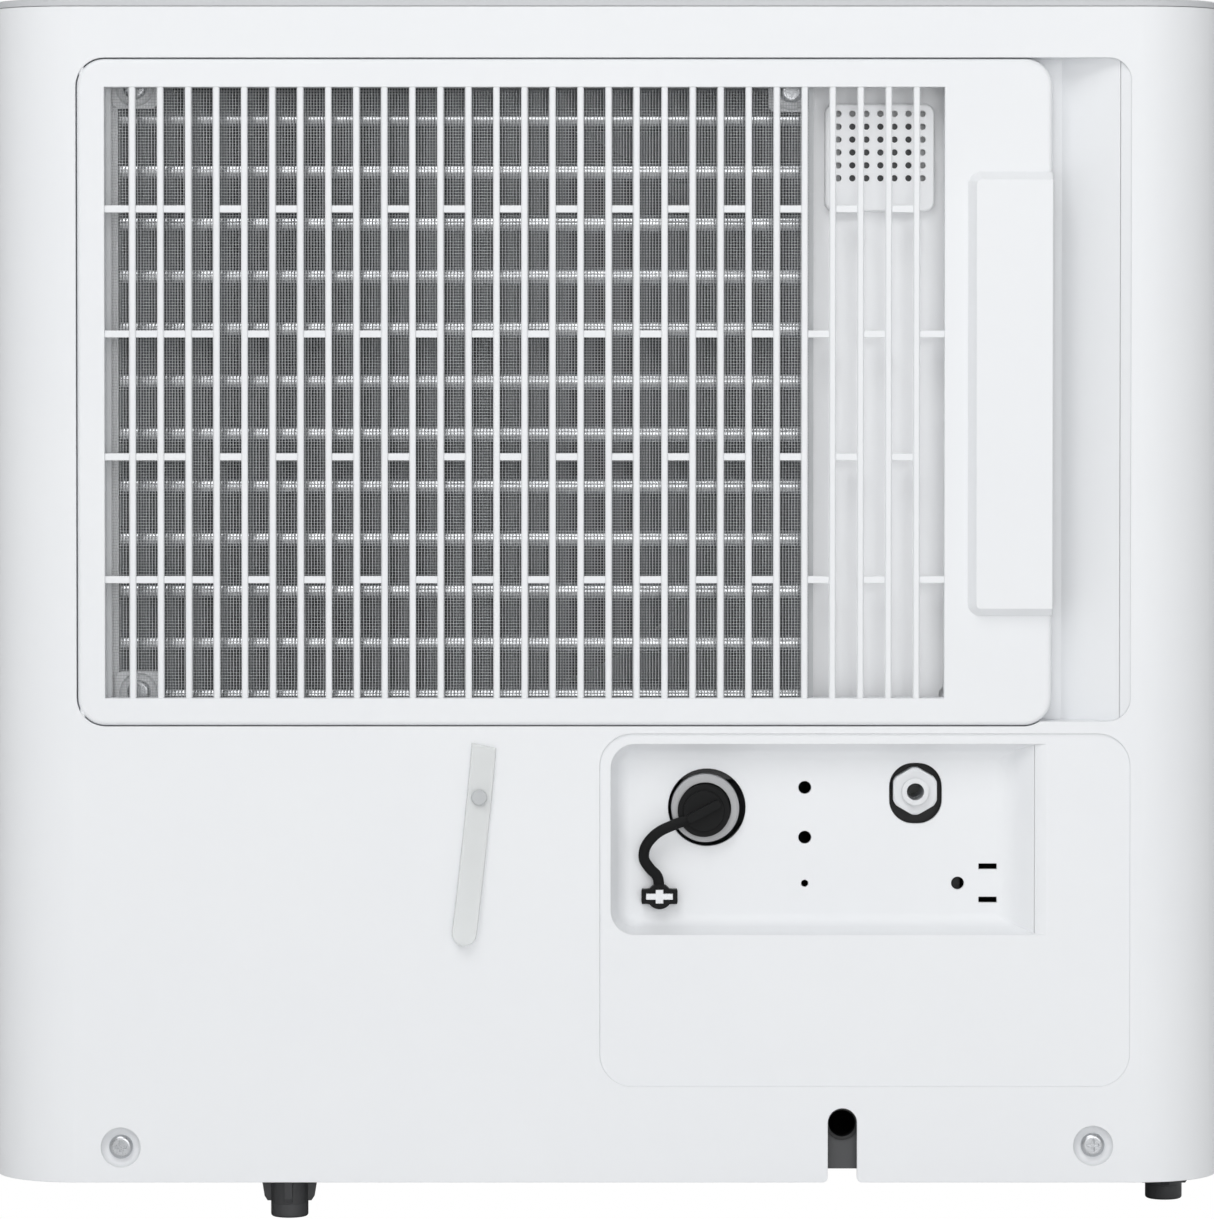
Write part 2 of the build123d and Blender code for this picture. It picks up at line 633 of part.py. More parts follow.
def drain_plug():
    """Rubber plug with a raised disc, a little off its stem's axis, and a slanted finger ridge."""
    plug = rod_y(SPOUT_X, SPOUT_Z, PLUG_R - 0.35, -163.2, -154.5)
    cap_x = SPOUT_X - 0.6
    cap_z = SPOUT_Z - 0.9
    plug += rod_y(cap_x, cap_z, 10.4, -164.6, -163.2)
    plug += rod_y(cap_x, cap_z, 8.1, -166.2, -164.5)
    ridge = Pos(cap_x, -167.6, cap_z) * Rot(0, -28, 0) * Box(15, 3.2, 3.6)
    plug += fillet(ridge.edges().filter_by(Axis.Y), 1.7)
    groove = rod_y(SPOUT_X, SPOUT_Z, PLUG_R + 1, -159.6, -157.2) - rod_y(SPOUT_X, SPOUT_Z, 8.6, -160, -157)
    return plug - groove


def plug_seal():
    """Sealing ring in the plug's groove."""
    ring = rod_y(SPOUT_X, SPOUT_Z, PLUG_R + 0.1, -159.5, -157.3)
    return ring - rod_y(SPOUT_X, SPOUT_Z, 8.65, -160, -157)


def plug_tether():
    """Rubber strap from the plug's side down to an anchor pressed into the recess floor."""
    route = [(27.6, 158.9), (19.8, 155.6), (14.6, 147.0), (17.6, 140.7), (TETHER_X, TETHER_Z + 4)]
    line = FilletPolyline(*route, radius=(5, 6, 6))
    strip = Plane.XZ * trace(line, 4.3)
    strap = Pos(0, -163.6, 0) * extrude(strip, amount=1.8)
    anchor = rod_y(TETHER_X, TETHER_Z, 5, -162.4, HOSE_FLOOR_Y)
    anchor += block(TETHER_X - 7.2, TETHER_X + 7.2, -162.4, HOSE_FLOOR_Y, TETHER_Z - 2.8, TETHER_Z + 2.8)
    anchor += block(TETHER_X - 2.1, TETHER_X + 2.1, -165.4, -162.3, TETHER_Z + 2.9, TETHER_Z + 4.9)
    return anchor + strap - Pos(0, 0.5, 0) * tether_key(0.25) - tether_key(0.25)


def hexagon_prism(x, z, across, y0, y1):
    """A hexagon with points up and down, thick from y0 to y1."""
    plane = Plane(origin=(x, y1, z), x_dir=(1, 0, 0), z_dir=(0, -1, 0))
    outline = RegularPolygon(radius=across / 2, side_count=6, major_radius=False, rotation=30)
    return extrude(plane * outline, amount=y1 - y0)


def hose_fitting():
    """Push-in fitting for the pump's discharge hose."""
    y = FITTING_Y
    body = hexagon_prism(FITTING_X, FITTING_Z, HEX_ACROSS, y, y + 8.5)
    body = body & fillet(rod_y(FITTING_X, FITTING_Z, 9.4, y, y + 8.5).edges(), 1.2)
    body += rod_y(FITTING_X, FITTING_Z, 7, y + 8, y + 28)
    body -= rod_y(FITTING_X, FITTING_Z, 4.9, y - 1, y + 13)
    return body - rod_y(FITTING_X, FITTING_Z, FITTING_BORE_R, y + 12, y + 29)


def fitting_collet():
    """Release ring that is pushed in to free the hose."""
    y = FITTING_Y
    ring = rod_y(FITTING_X, FITTING_Z, 4.84, y - 1.7, y + 11.5)
    ring += rod_y(FITTING_X, FITTING_Z, 5.4, y - 2.5, y - 1.6)
    return ring - rod_y(FITTING_X, FITTING_Z, FITTING_BORE_R + 0.1, y - 4, y + 12)


def drain_pump():
    """Condensate pump and the bracket that holds the fitting."""
    pump = rod_z(FITTING_X, -112, 20, 60, 128)
    pump += rod_z(FITTING_X, -112, 24, 84, 88)
    pump += rod_z(FITTING_X, -112, 5, 127, 141)
    bracket = block(105, 141, -151.8, -149.4, 96, 186)
    bracket += block(105, 141, -150, -128, 96, 98.4)
    bracket -= rod_y(FITTING_X, FITTING_Z, 7.2, -153, -148)
    return pump + bracket


def pump_hose():
    """Short inner hose from the pump to the fitting."""
    points = [(FITTING_X, FITTING_Y + 28.1, FITTING_Z), (FITTING_X, -112, FITTING_Z)]
    points.append((FITTING_X, -112, 141.1))
    return pipe(points, 4.5, 16)


def strap_stud():
    """Push rivet that the cord strap turns on."""
    stud = rod_y(STUD_X, STUD_Z, 3.1, -173.4, -172.5)
    stud = fillet(stud.faces().sort_by(Axis.Y)[0].edges(), 0.5)
    return stud + rod_y(STUD_X, STUD_Z, STUD_R, -172.6, -162)


def cord_strap():
    """Flexible strip that ties a coiled cord, hanging from its stud."""
    lean = math.degrees(math.atan2(7.9, 78.4))
    line = [(-171.1, 21.0), (-171.1, -30.0), (-173.0, -59.0)]
    line += [(-171.8, -59.4), (-169.9, -30.0), (-169.9, 21.0)]
    side = Plane.YZ * Polygon(*[(y - 1.3, z) for y, z in line], align=None)
    strip = extrude(side, amount=4.95, both=True)
    outline = Plane.XZ * SlotOverall(81.2, 9.9, rotation=90)
    strip = strip & Pos(0, 0, -18.9) * extrude(outline, amount=400, both=True)
    strip -= rod_y(0, 0, STUD_R + 0.08, -180, -160)
    return Pos(STUD_X, 0, STUD_Z) * Rot(0, lean, 0) * strip


# ---- fan ----------------------------------------------------------------------------

def scroll_outline(inset, y0, y1, top):
    """The blower housing's shape: a drum with a straight throat going up at its left."""
    drum = rod_y(FAN_X, FAN_Z, SCROLL_R - inset, y0, y1)
    return drum + block(FAN_X - SCROLL_R + inset, FAN_X - inset, y0, y1, FAN_Z, top)


def fan_scroll():
    """Blower housing with an inlet ring towards the coils and an open throat on top."""
    scroll = scroll_outline(0, SCROLL_Y0, SCROLL_Y1, SCROLL_TOP)
    scroll -= scroll_outline(2.5, SCROLL_Y0 + 2.5, SCROLL_Y1 - 2.5, SCROLL_TOP + 5)
    scroll -= rod_y(FAN_X, FAN_Z, 70, SCROLL_Y0 - 1, SCROLL_Y0 + 4)
    return scroll - rod_y(FAN_X, FAN_Z, 24, SCROLL_Y1 - 4, SCROLL_Y1 + 1)


def fan_wheel():
    """Squirrel cage wheel: a back disc, blades and an end ring."""
    wheel = rod_y(FAN_X, FAN_Z, FAN_R, -38, -36)
    wheel += rod_y(FAN_X, FAN_Z, 12, -56, -37)
    ring = rod_y(FAN_X, FAN_Z, FAN_R, -84, -82) - rod_y(FAN_X, FAN_Z, FAN_R - 13, -85, -81)
    blades = []
    for step in range(FAN_BLADES):
        turn = Rot(0, step * 360 / FAN_BLADES, 0)
        blade = turn * Pos(FAN_R - 7, -60, 0) * Rot(0, 30, 0) * Box(12, 45.6, 1.2)
        blades.append(Pos(FAN_X, 0, FAN_Z) * blade)
    wheel = wheel + [ring] + blades
    return wheel - rod_y(FAN_X, FAN_Z, SHAFT_R + 0.02, -57, -35)


def fan_motor():
    """Motor on the front of the blower housing."""
    motor = rod_y(FAN_X, FAN_Z, 42, -23.4, 24)
    motor = fillet(motor.faces().sort_by(Axis.Y)[-1].edges(), 6)
    motor += rod_y(FAN_X, FAN_Z, 56, -25.8, -23.3)
    return motor - rod_y(FAN_X, FAN_Z, SHAFT_R + 0.06, -27, 12)


def motor_shaft():
    """Shaft from the motor into the wheel's hub."""
    return rod_y(FAN_X, FAN_Z, SHAFT_R, -56, 11)


# ---- outlet louvres -----------------------------------------------------------------

def louvre_y(step):
    """Place of one louvre, -1, 0 or 1, across the outlet."""
    return (OUTLET_Y0 + OUTLET_Y1) / 2 + step * LOUVRE_PITCH


def outlet_frame():
    """Rectangular collar in the lid that carries the louvres."""
    frame = flat_pad(OUTLET_X0 - 2, OUTLET_X1 + 2, OUTLET_Y0 - 2, OUTLET_Y1 + 2, 2, 469, PANEL_TOP)
    frame += block(OUTLET_X0 - 7, OUTLET_X1 + 7, OUTLET_Y0 - 7, OUTLET_Y1 + 7, 481.3, LID_BOTTOM - 0.2)
    frame -= block(OUTLET_X0, OUTLET_X1, OUTLET_Y0, OUTLET_Y1, 460, 490)
    for step in (-1, 0, 1):
        frame -= rod_x(louvre_y(step), LOUVRE_Z, PIVOT_R + 0.06, OUTLET_X0 - 8, OUTLET_X1 + 8)
    return frame


def louvre(step):
    """One blade with pivots at both ends and a crank at its right end."""
    y = louvre_y(step)
    half = LOUVRE_W / 2
    blade = block(OUTLET_X0 + 0.6, LOUVRE_END_X, y - half, y + half, LOUVRE_Z - 0.9, LOUVRE_Z + 0.9)
    blade = fillet(blade.edges().filter_by(Axis.X), 0.6)
    blade += rod_x(y, LOUVRE_Z, PIVOT_R, OUTLET_X0 - 1.8, OUTLET_X0 + 2)
    blade += rod_x(y, LOUVRE_Z, PIVOT_R, LOUVRE_END_X - 1, OUTLET_X1 + 1.8)
    blade += block(LOUVRE_END_X - 0.1, LOUVRE_END_X + 1.8, y - 2, y + 2, LOUVRE_Z - CRANK - 2, LOUVRE_Z + 1)
    return blade + rod_x(y, LOUVRE_Z - CRANK, CRANK_PIN_R, LOUVRE_END_X + 1, LOUVRE_END_X + 4.4)


def louvre_link():
    """Bar that joins the three cranks."""
    z = LOUVRE_Z - CRANK
    x0 = LOUVRE_END_X + 2.2
    link = block(x0, x0 + 1.6, louvre_y(-1) - 3, louvre_y(1) + 3, z - 2.2, z + 2.2)
    for step in (-1, 0, 1):
        link -= rod_x(louvre_y(step), z, CRANK_PIN_R + 0.06, x0 - 1, x0 + 3)
    return link


# ---- controls -----------------------------------------------------------------------

def button_pad(x, grow, z0, z1):
    """A button's rounded outline, thick from z0 to z1."""
    half_w = BUTTON_W / 2 + grow
    half_d = BUTTON_D / 2 + grow
    return flat_pad(x - half_w, x + half_w, PANEL_Y - half_d, PANEL_Y + half_d, half_d - 0.1, z0, z1)


def control_panel():
    """Panel set in the lid, with button holes and a display window."""
    half_w = PANEL_W / 2 - 0.3
    half_d = PANEL_D / 2 - 0.3
    panel = flat_pad(-half_w, half_w, PANEL_Y - half_d, PANEL_Y + half_d, 9.7, 481.4, PANEL_TOP)
    rim = flat_pad(-half_w - 4, half_w + 4, PANEL_Y - half_d - 4, PANEL_Y + half_d + 4, 10, 481.4, 483.4)
    panel += rim
    for x in (-106, 106):
        for y in (PANEL_Y - 15, PANEL_Y + 15):
            panel += rod_z(x, y, 3, 471.7, 482)
    panel -= flat_pad(-34, 34, PANEL_Y - 14, PANEL_Y + 14, 3, 480, 490)
    for x in BUTTONS.values():
        panel -= button_pad(x, 0.3, 480, 490)
    return panel


def display_lens():
    """Smoked window over the display."""
    lens = flat_pad(-33.8, 33.8, PANEL_Y - 13.8, PANEL_Y + 13.8, 2.8, 483.6, PANEL_TOP - 0.1)
    return lens


def control_board():
    """Circuit board with the display block and one switch under each button."""
    board = block(-112, 112, PANEL_Y - 21, PANEL_Y + 21, 470, 471.6)
    board += block(-29, 29, PANEL_Y - 11, PANEL_Y + 11, 471.5, 483.2)
    for x in BUTTONS.values():
        board += block(x - 3, x + 3, PANEL_Y - 3, PANEL_Y + 3, 471.5, 472.2)
    return board


def button(x):
    """A key with a retaining flange and a stem over its switch."""
    key = button_pad(x, 0, 479.6, BUTTON_TOP)
    key = fillet(key.faces().sort_by(Axis.Z)[-1].edges(), 0.5)
    key += button_pad(x, 1.5, 479.6, 481.1)
    return key + rod_z(x, PANEL_Y, 2, 473.4, 480)


# ---- bucket -------------------------------------------------------------------------

def bucket_tub():
    """Open-topped water bucket with ears for the float."""
    tub = block(BUCKET_X0, BUCKET_X1, BUCKET_Y0, BUCKET_Y1, BUCKET_Z0, BUCKET_Z1)
    tub = fillet(tub.edges().filter_by(Axis.Z), 12)
    tub = fillet(tub.faces().sort_by(Axis.Z)[0].edges(), 4)
    hollow = block(BUCKET_X0 + BUCKET_WALL, BUCKET_X1 - BUCKET_WALL, BUCKET_Y0 + BUCKET_WALL,
                   BUCKET_Y1 - BUCKET_WALL, BUCKET_Z0 + BUCKET_WALL, BUCKET_Z1 + 20)
    hollow = fillet(hollow.edges().filter_by(Axis.Z), 12 - BUCKET_WALL)
    tub -= hollow
    for y in (44, 64):
        tub += block(BUCKET_X0 + 1, -186, y, y + 3, 138, 154)
    return tub + rod_y(-191, 148, 2, 44, 67)


def bucket_float():
    """Float on an arm that trips the full-bucket switch."""
    arm = block(-191, -150, 52, 59, 145, 151)
    arm = arm + rod_y(-191, 148, 4.5, 48, 63)
    arm += block(-162, -130, 44, 67, 118, 147)
    arm -= block(-162.5, -156, 51, 60, 117, 144)
    return arm - rod_y(-191, 148, 2.06, 40, 70)


def bucket_front():
    """The bucket's front with a finger pocket and a slot for the level window."""
    x0 = BUCKET_X0 - 3.4
    x1 = BUCKET_X1 + 3.4
    back = BUCKET_Y1 + 0.2
    front = slab(x0, x1, BUCKET_Z0, BUCKET_FRONT_TOP, 5.4, FRONT_Y - 3, FRONT_Y)
    front += block(BUCKET_X0 + 14, BUCKET_X1 - 14, back, FRONT_Y - 2.9, BUCKET_Z0 + 8, BUCKET_Z0 + 10.5)
    for x in (BUCKET_X0 + 14, BUCKET_X1 - 16.5):
        front += block(x, x + 2.5, back, FRONT_Y - 2.9, BUCKET_Z0 + 8, BUCKET_Z1 - 6)
    middle = (x0 + x1) / 2
    front += slab(middle - 62, middle + 62, 126, 162, 14, FRONT_Y - 24.5, FRONT_Y - 2)
    front -= slab(middle - 59.5, middle + 59.5, 128.5, 159.5, 11.5, FRONT_Y - 22, FRONT_Y + 1)
    return front - slab(middle - 6, middle + 6, 44, 112, 5.9, FRONT_Y - 5, FRONT_Y + 1)


def level_window():
    """Clear window in the bucket's front."""
    middle = (BUCKET_X0 + BUCKET_X1) / 2
    window = slab(middle - 5.9, middle + 5.9, 44.1, 111.9, 5.8, FRONT_Y - 3.5, FRONT_Y - 0.5)
    return window + slab(middle - 9, middle + 9, 41, 115, 8, FRONT_Y - 5, FRONT_Y - 3.2)


# ---- refrigerant circuit and electrics ----------------------------------------------

def grommet_spot(angle):
    """Centre of one compressor mount."""
    reach = 56
    return COMP_X + reach * math.cos(math.radians(angle)), COMP_Y + reach * math.sin(math.radians(angle))


def compressor():
    """Sealed compressor can on a foot plate."""
    can = rod_z(COMP_X, COMP_Y, COMP_R, 56, COMP_TOP)
    can = fillet(can.faces().sort_by(Axis.Z)[-1].edges(), 22)
    can += rod_z(COMP_X, COMP_Y, COMP_R + 2, 128, 134)
    can += rod_z(COMP_X, COMP_Y, 66, 52, 56.5)
    for angle in GROMMET_ANGLES:
        x, y = grommet_spot(angle)
        can -= rod_z(x, y, 3.9, 50, 58)
    return can


def compressor_studs():
    """Three steel studs in the tray that the compressor's feet drop over."""
    return Compound([rod_z(*grommet_spot(angle), 3.6, BASE_FLOOR, 48) for angle in GROMMET_ANGLES])


def compressor_grommets():
    """Rubber mounts between the base and the compressor's foot plate."""
    grommets = []
    for angle in GROMMET_ANGLES:
        x, y = grommet_spot(angle)
        sleeve = rod_z(x, y, 9, BASE_FLOOR + 0.1, 51.8)
        grommets.append(sleeve - rod_z(x, y, 3.8, BASE_FLOOR - 1, 53))
    return Compound(grommets)


def discharge_pipe():
    """Hot gas pipe from the compressor to the top of the condenser."""
    points = [(185, COMP_Y, COMP_TOP - 4), (185, COMP_Y, 330), (185, CONDENSER_Y, 330)]
    points += [(185, CONDENSER_Y, TOP_ROW_Z), (STUB_X, CONDENSER_Y, TOP_ROW_Z)]
    return pipe(points, TUBE_R, 16) - compressor()


def suction_pipe():
    """Cold gas pipe from the bottom of the evaporator to the compressor."""
    z = row_z(TUBE_ROWS - 1)
    points = [(STUB_X, FRONT_ROW_Y, z), (150, FRONT_ROW_Y, z), (150, FRONT_ROW_Y, 270)]
    points += [(150, COMP_Y, 270), (150, COMP_Y, COMP_TOP - 4)]
    return pipe(points, TUBE_R, 16) - compressor()


def filter_drier():
    """Drier between the condenser and the capillary tube."""
    z = row_z(TUBE_ROWS - 1)
    drier = rod_z(120, -124, 9, 240, 290)
    drier = chamfer(drier.edges().filter_by(GeomType.CIRCLE), 4)
    points = [(STUB_X, CONDENSER_Y, z), (120, CONDENSER_Y, z), (120, -124, 225), (120, -124, 242)]
    return drier + pipe(points, 3, 5)


def capillary_tube():
    """Thin tube from the drier to the top of the evaporator."""
    points = [(120, -124, 290.1), (120, -124, 400), (120, FRONT_ROW_Y, TOP_ROW_Z)]
    points += [(STUB_X, FRONT_ROW_Y, TOP_ROW_Z)]
    return pipe(points, 1.5, 8)


def run_capacitor():
    """Motor capacitor standing on the base."""
    can = rod_z(200, 112, 20, BASE_FLOOR + 0.1, 96)
    can = fillet(can.faces().sort_by(Axis.Z)[-1].edges(), 2)
    for x in (194, 206):
        can += block(x - 0.4, x + 0.4, 109, 115, 95, 103)
    return can


# ---- writing the parts --------------------------------------------------------------

def all_parts():
    """Every piece by its name."""
    parts = {
        "door_tray": door_tray(),
        "recess_cups": recess_cups(),
        "rear_cover": rear_cover(),
        "front_cover": front_cover(),
        "top_lid": top_lid(),
        "foot_posts": foot_posts(),
        "base_pan": base_pan(),
        "rubber_feet": rubber_feet(),
        "cover_screws": cover_screws(),
        "cord_grommet": cord_grommet(),
        "filter_door": filter_door(),
        "filter_mesh": filter_mesh(),
        "coil_frame": coil_frame(),
        "coil_screws": coil_screws(),
        "evaporator_fins": coil_fins(EVAPORATOR_Y, FRONT_ROW_Y),
        "evaporator_tubes": coil_tubes(FRONT_ROW_Y),
        "condenser_fins": coil_fins(CONDENSER_Y, CONDENSER_Y),
        "condenser_tubes": coil_tubes(CONDENSER_Y),
        "sensor_cover": sensor_cover(),
        "sensor_board": sensor_board(),
        "drip_tray": drip_tray(),
        "drain_spout": drain_spout(),
        "drain_plug": drain_plug(),
        "plug_seal": plug_seal(),
        "plug_tether": plug_tether(),
        "hose_fitting": hose_fitting(),
        "fitting_collet": fitting_collet(),
        "drain_pump": drain_pump(),
        "pump_hose": pump_hose(),
        "strap_stud": strap_stud(),
        "cord_strap": cord_strap(),
        "fan_scroll": fan_scroll(),
        "fan_wheel": fan_wheel(),
        "fan_motor": fan_motor(),
        "motor_shaft": motor_shaft(),
        "outlet_frame": outlet_frame(),
        "louvre_rear": louvre(-1),
        "louvre_middle": louvre(0),
        "louvre_front": louvre(1),
        "louvre_link": louvre_link(),
        "control_panel": control_panel(),
        "display_lens": display_lens(),
        "control_board": control_board(),
        "bucket_tub": bucket_tub(),
        "bucket_float": bucket_float(),
        "bucket_front": bucket_front(),
        "level_window": level_window(),
        "compressor": compressor(),
        "compressor_studs": compressor_studs(),
        "compressor_grommets": compressor_grommets(),
        "discharge_pipe": discharge_pipe(),
        "suction_pipe": suction_pipe(),
        "filter_drier": filter_drier(),
        "capillary_tube": capillary_tube(),
        "run_capacitor": run_capacitor(),
    }
    for name, x in BUTTONS.items():
        parts[name + "_button"] = button(x)
    return parts


os.makedirs("parts", exist_ok=True)
for name, shape in all_parts().items():
    export_step(shape, "parts/" + name + ".step")
    print(name, "written")
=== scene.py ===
# %% [markdown]
# # A compact compressor unit, seen from its intake side
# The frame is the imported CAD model: every piece that has a real size, and every joint. This
# lesson dresses it. Most CAD pieces keep their shape and get a better finish. Pieces that repeat
# hundreds of times (fins, mesh threads) or bend (straps) are made here and ride on the same bodies.

# %% Load the frame
import math

import bmesh
import bpy
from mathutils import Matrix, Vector


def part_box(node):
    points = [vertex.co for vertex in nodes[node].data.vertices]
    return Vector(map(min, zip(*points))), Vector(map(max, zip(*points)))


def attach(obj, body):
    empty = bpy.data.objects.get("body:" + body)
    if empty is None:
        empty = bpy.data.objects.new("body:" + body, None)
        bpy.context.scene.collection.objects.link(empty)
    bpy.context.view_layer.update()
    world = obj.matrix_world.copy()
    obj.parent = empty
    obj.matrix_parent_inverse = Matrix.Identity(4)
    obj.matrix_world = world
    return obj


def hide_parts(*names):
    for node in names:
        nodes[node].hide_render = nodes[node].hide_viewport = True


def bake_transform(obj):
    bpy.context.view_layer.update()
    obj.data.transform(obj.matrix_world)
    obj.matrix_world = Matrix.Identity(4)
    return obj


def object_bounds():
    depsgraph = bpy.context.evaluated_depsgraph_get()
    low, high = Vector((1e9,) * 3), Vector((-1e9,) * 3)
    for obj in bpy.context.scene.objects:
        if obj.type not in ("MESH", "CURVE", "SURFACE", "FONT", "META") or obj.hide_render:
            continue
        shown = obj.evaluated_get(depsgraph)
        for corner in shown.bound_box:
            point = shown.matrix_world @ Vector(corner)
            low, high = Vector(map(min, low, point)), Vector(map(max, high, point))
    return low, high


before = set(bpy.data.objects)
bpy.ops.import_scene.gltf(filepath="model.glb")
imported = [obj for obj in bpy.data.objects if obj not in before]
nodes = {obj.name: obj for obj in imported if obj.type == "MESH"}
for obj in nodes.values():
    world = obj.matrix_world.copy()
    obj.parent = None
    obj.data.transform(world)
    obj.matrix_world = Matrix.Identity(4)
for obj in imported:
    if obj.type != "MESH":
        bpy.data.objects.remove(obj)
cad_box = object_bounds()
MM = 0.001
print("CAD box in mm:", [round(v / MM, 1) for corner in cad_box for v in corner])


# %% [markdown]
# ## Small helpers
# A shader works in linear light, while the colours here are given as sRGB hex values, so one function
# converts. One more function adds a node with its settings and its links in a single call, which
# keeps every material short enough to read like a recipe.

# %% Colour and node helpers
def linear(hex_colour):
    """Linear RGBA from an sRGB hex colour such as #ECEEF0."""
    channels = [int(hex_colour[i:i + 2], 16) / 255 for i in (1, 3, 5)]
    return tuple(c / 12.92 if c <= 0.04045 else ((c + 0.055) / 1.055) ** 2.4 for c in channels) + (1.0,)


def add(tree, kind, inputs=None, **settings):
    """Adds one node. An input given as a socket is linked, and any other value is set."""
    made = tree.nodes.new(kind)
    for name, value in settings.items():
        setattr(made, name, value)
    for key, value in (inputs or {}).items():
        if isinstance(value, bpy.types.NodeSocket):
            tree.links.new(value, made.inputs[key])
        else:
            made.inputs[key].default_value = value
    return made


def new_material(name):
    """An empty material and its node tree."""
    material = bpy.data.materials.new(name)
    material.use_nodes = True
    material.node_tree.nodes.clear()
    return material, material.node_tree


def per_metre(size_mm):
    """Texture scale whose features are about size_mm across, on coordinates in metres."""
    return 1 / (size_mm * MM)


# %% [markdown]
# ## Finishes
# Nearly all of the machine is injection-moulded ABS. Its tool is spark-eroded, which leaves a fine
# pebble texture that breaks up highlights. The eye reads it as: even colour, soft wide highlight,
# slightly rounded edges. So one recipe makes every moulded plastic: a slow drift of colour, a fine
# grain as bump, and a small edge radius from the Bevel node under that bump.

# %% Moulded plastic and rubber
DRIFT_MM = 70
GLOSS_SPREAD = 0.06
PLASTIC_IOR = 1.53


def moulded(name, colour, shade, roughness=0.5, grain_mm=0.9, relief_mm=0.02, edge_mm=0.4, **shader):
    """Moulded plastic or rubber. Colour drifts from colour to shade over some tens of millimetres."""
    material, tree = new_material(name)
    place = add(tree, "ShaderNodeTexCoord").outputs["Object"]
    drift = add(tree, "ShaderNodeTexNoise", {"Vector": place, "Scale": per_metre(DRIFT_MM), "Detail": 3.0})
    mixed = add(tree, "ShaderNodeMixRGB", {"Fac": drift.outputs["Fac"], "Color1": linear(colour),
                                           "Color2": linear(shade)})
    grain = add(tree, "ShaderNodeTexNoise", {"Vector": place, "Scale": per_metre(grain_mm), "Detail": 2.0})
    gloss = add(tree, "ShaderNodeMapRange", {"Value": grain.outputs["Fac"],
                                             "To Min": roughness - GLOSS_SPREAD,
                                             "To Max": roughness + GLOSS_SPREAD})
    edge = add(tree, "ShaderNodeBevel", {"Radius": edge_mm * MM}, samples=4)
    bump = add(tree, "ShaderNodeBump", {"Height": grain.outputs["Fac"], "Distance": relief_mm * MM,
                                        "Strength": 0.6, "Normal": edge.outputs["Normal"]})
    inputs = {"Base Color": mixed.outputs["Color"], "Roughness": gloss.outputs["Result"],
              "Normal": bump.outputs["Normal"], "IOR": PLASTIC_IOR}
    inputs.update({key.replace("_", " "): value for key, value in shader.items()})
    surface = add(tree, "ShaderNodeBsdfPrincipled", inputs)
    add(tree, "ShaderNodeOutputMaterial", {"Surface": surface.outputs["BSDF"]})
    return material


# Light ABS: high albedo, satin, a grain of about half a millimetre drawn a little coarser to show.
casing_abs = moulded("casing_abs", "#EDEFF1", "#EAECEF", roughness=0.46, grain_mm=0.9, edge_mm=0.5)
# The inner frame is painted a brighter white than the casing: painted light that makes up for the shade it
# sits in behind the grille and net.
brightened_frame_abs = moulded("brightened_frame_abs", "#F8F9FA", "#F4F5F7", roughness=0.5, edge_mm=0.5)
# The lid is the same ABS in a darker batch.
lid_abs = moulded("lid_abs", "#C9CBCE", "#C4C6C9", roughness=0.42, edge_mm=0.5)
# Polypropylene, used where nobody looks: darker and waxier. The pump's is nearly black.
black_polypropylene = moulded("black_polypropylene", "#0F1011", "#141516", roughness=0.55, relief_mm=0.02)
dark_polypropylene = moulded("dark_polypropylene", "#4B4C4E", "#434446", roughness=0.48, relief_mm=0.03)
# Moulded rubber scatters light: rough, nearly black, with a visible drag texture.
foot_rubber = moulded("foot_rubber", "#58595B", "#4C4D4F", roughness=0.62, grain_mm=0.7, relief_mm=0.04)
plug_rubber = moulded("plug_rubber", "#090A0B", "#0F1011", roughness=0.5, grain_mm=0.6, relief_mm=0.02,
                      Specular_IOR_Level=0.16)
# Glass-filled nylon spout: mid grey and slightly shiny.
grey_nylon = moulded("grey_nylon", "#B2B3B5", "#A6A7A9", roughness=0.36, relief_mm=0.01)
# Acetal is milky: a little light travels inside it.
white_acetal = moulded("white_acetal", "#E3E5E7", "#DCDEE1", roughness=0.3, relief_mm=0.008,
                       Subsurface_Weight=0.15, Subsurface_Radius=(0.002, 0.002, 0.002))
key_plastic = moulded("key_plastic", "#DADCDE", "#D5D7DA", roughness=0.34, relief_mm=0.01)
bucket_polypropylene = moulded("bucket_polypropylene", "#A9B0B6", "#A1A8AF", roughness=0.38,
                               Subsurface_Weight=0.1, Subsurface_Radius=(0.004, 0.004, 0.004))
# Polyethylene film strip: milky and see-through, so the panel behind it glows through.
clear_polyethylene = moulded("clear_polyethylene", "#F2F4F4", "#ECEFEF", roughness=0.5, grain_mm=2.0,
                             relief_mm=0.02, IOR=1.5, Alpha=0.55)
stud_polyethylene = moulded("stud_polyethylene", "#BFC2C4", "#BABDBF", roughness=0.45, relief_mm=0.01)
clear_styrene = moulded("clear_styrene", "#DDE6EA", "#D5E0E5", roughness=0.12, relief_mm=0.004,
                        Transmission_Weight=0.8, IOR=1.59)
smoked_acrylic = moulded("smoked_acrylic", "#141517", "#17181A", roughness=0.09, relief_mm=0.002,
                         Coat_Weight=0.6, Coat_Roughness=0.05)
solder_mask = moulded("solder_mask", "#1F6B3C", "#1A5F35", roughness=0.3, relief_mm=0.02)
dark_epoxy = moulded("dark_epoxy", "#4A4C4F", "#414346", roughness=0.4, relief_mm=0.01)
black_enamel = moulded("black_enamel", "#191A1C", "#202123", roughness=0.3, grain_mm=2.5, relief_mm=0.03,
                       Coat_Weight=0.4, Coat_Roughness=0.2)
# Undyed nylon thread: pale and milky. It greys what lies behind it.
filter_nylon = moulded("filter_nylon", "#C6C8CA", "#BCBEC0", roughness=0.5, grain_mm=1.0, edge_mm=0.05)


